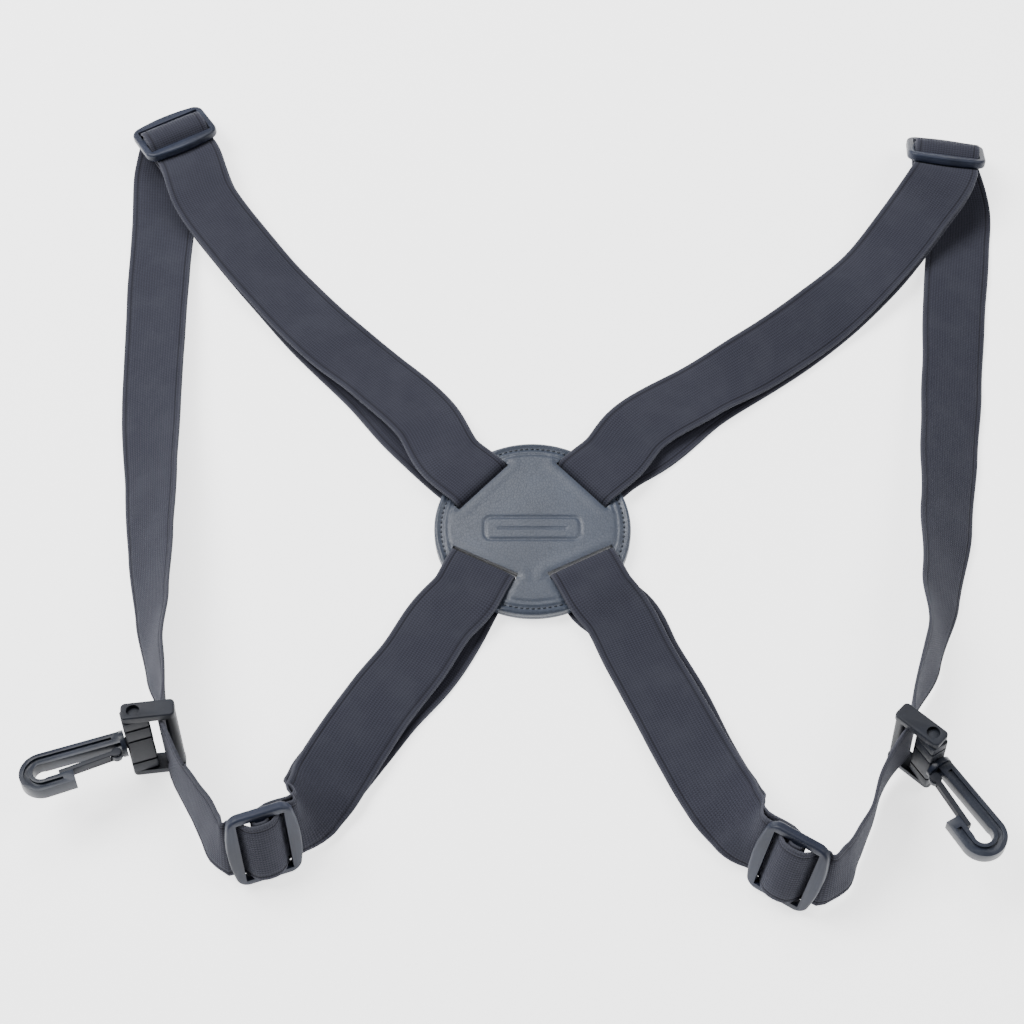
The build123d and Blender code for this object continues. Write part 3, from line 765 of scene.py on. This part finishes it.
def patch_stitches():
    """The seam's stitches, each a short bowed thread sunk at both ends."""
    bm = bmesh.new()
    for index in range(stitch_count):
        angle = math.tau * index / stitch_count
        x, y = stitch_radius * math.cos(angle), stitch_radius * math.sin(angle)
        if any(abs(out) < clear_beside and along < clear_along for out, along in beside_slots(x, y)):
            continue
        rings = []
        for step in range(thread_rings):
            share = step / (thread_rings - 1) * 2 - 1
            lift = leather_height(x, y) + thread_proud - thread_bow * share * share
            thick = thread_radius * (1 - thread_taper * share * share)
            centre = Vector((stitch_radius, share * stitch_length / 2, lift))
            ring = []
            for spoke in range(thread_sides):
                turn = math.tau * spoke / thread_sides
                place = centre + Vector((thick * math.cos(turn), 0, thick * math.sin(turn)))
                place.rotate(Matrix.Rotation(angle, 3, "Z"))
                ring.append(bm.verts.new((place + patch_centre) * MM))
            rings.append(ring)
        for first, second in zip(rings, rings[1:]):
            for spoke in range(thread_sides):
                following = (spoke + 1) % thread_sides
                bm.faces.new((first[spoke], first[following], second[following], second[spoke]))
        bm.faces.new(rings[0])
        bm.faces.new(rings[-1])
    bmesh.ops.recalc_face_normals(bm, faces=bm.faces)
    mesh = bpy.data.meshes.new("patch_seam_thread")
    bm.to_mesh(mesh)
    bm.free()
    for face in mesh.polygons:
        face.use_smooth = True
    thread = new_piece("patch_seam_thread", mesh)
    finish_with(thread, thread_finish)
    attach(thread, "harness")
    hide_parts("patch_edge_stitching")


# ---- putting the webbing on ------------------------------------------------------------------------
# Stretches of each strip next to its slider, worked out but left unused: distances from the slider, and
# shares of the way.
arm_bend_end = 14.0
arm_bend_share = 0.55
shoulder_bend = (75.0, 20.0)
underarm_bend_share = 0.25
first_seed = 11
seed_step = 7


def metres(point):
    return tuple(point * MM)


def put_on_strip(strip, replaced, start, end):
    """Finishes a strip, hides the CAD parts that it replaces and bakes its placement."""
    finish_with(strip, webbing_finish)
    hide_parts(*replaced)
    metres(start)
    metres(end)
    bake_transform(strip)


def put_on_arm(name, seed):
    """An arm's strip, from its slider through its slot and back."""
    strip, length = arm_strip(name, seed)
    centre = slider_frame(name).translation
    slot_place = slot_frame(name).translation
    near = centre + (slot_place - centre).normalized() * arm_bend_end
    replaced = [f"{name}_{part}" for part in ("arm_front", "arm_back", "patch_loop", "sewn_end")]
    put_on_strip(strip, replaced, near.lerp(slot_place, arm_bend_share), near)


def put_on_shoulder(side, seed):
    """The strip from the upper slider to the clip."""
    strip, length = shoulder_strip(side, seed)
    name = f"{side}_upper"
    centre = slider_frame(name).translation
    start, end = (centre - Vector((0, reach, 0)) for reach in shoulder_bend)
    replaced = (f"{name}_slider_wrap", f"{side}_shoulder_run", f"{side}_clip_wrap")
    put_on_strip(strip, replaced, start, end)


def put_on_underarm(side, seed):
    """The strip from the clip to the lower slider."""
    strip, length = underarm_strip(side, seed)
    name = f"{side}_lower"
    clip = clip_frame(side) @ Vector((-bar_offset, 0, 0))
    outer = slider_frame(name) @ Vector((0, near_reach, 0))
    replaced = (f"{name}_slider_wrap", f"{side}_underarm_run")
    put_on_strip(strip, replaced, clip.lerp(outer, underarm_bend_share), outer)


def put_on_webbing():
    """Every strip of webbing."""
    seed = first_seed
    for side in SIDES:
        for level, put_on_far_strip in (("upper", put_on_shoulder), ("lower", put_on_underarm)):
            put_on_arm(f"{side}_{level}", seed)
            put_on_far_strip(side, seed + seed_step)
            seed += 2 * seed_step


# ---- stage ---------------------------------------------------------------------------------------
view_offset = Vector((-7.3, 9.0, 0.0))  # from the patch centre to where the camera looks
camera_distance = 650.0
camera_elevation = 60.0
focal_length = 63.46
sensor_width = 36.0
floor_size = 12.0              # metres
room_light = 0.10


def put_up_camera():
    """The camera above the lower edge, looking down at the laid-out harness."""
    target = patch_centre + view_offset
    angle = math.radians(camera_elevation)
    place = target + Vector((0, -math.cos(angle), math.sin(angle))) * camera_distance
    camera = bpy.data.objects.new("camera", bpy.data.cameras.new("camera"))
    camera.data.lens = focal_length
    camera.data.sensor_width = sensor_width
    camera.data.clip_start = 0.01
    camera.location = place * MM
    camera.rotation_euler = (target - place).to_track_quat("-Z", "Y").to_euler()
    bpy.context.scene.collection.objects.link(camera)
    bpy.context.scene.camera = camera


def put_down_floor():
    """A wide pale floor."""
    bpy.ops.object.select_all(action="DESELECT")
    bpy.ops.mesh.primitive_plane_add(size=floor_size)
    floor = bpy.context.active_object
    floor.name = "floor"
    finish_with(floor, floor_material())


def soft_light(name, place, power, size):
    """A large square light that looks at the object."""
    light = bpy.data.objects.new(name, bpy.data.lights.new(name, "AREA"))
    light.data.energy = power
    light.data.size = size
    light.location = place
    light.rotation_euler = (-Vector(place)).to_track_quat("-Z", "Y").to_euler()
    bpy.context.scene.collection.objects.link(light)


def put_up_lights():
    """Three large lights, on the left, on the right and behind, in a dim pale room."""
    world = bpy.data.worlds.new("studio")
    world.use_nodes = True
    world.node_tree.nodes["Background"].inputs["Color"].default_value = (0.96, 0.98, 1.0, 1)
    world.node_tree.nodes["Background"].inputs["Strength"].default_value = room_light
    bpy.context.scene.world = world
    soft_light("key light", (-0.95, 0.35, 1.25), 36, 0.9)
    soft_light("fill light", (1.05, 0.15, 1.2), 14, 0.9)
    soft_light("back light", (-0.25, 1.0, 1.45), 16, 0.8)


put_up_camera()
dress_cad_nodes()
put_on_hardware()
patch_front()
patch_stitches()
put_on_webbing()
put_down_floor()
put_up_lights()
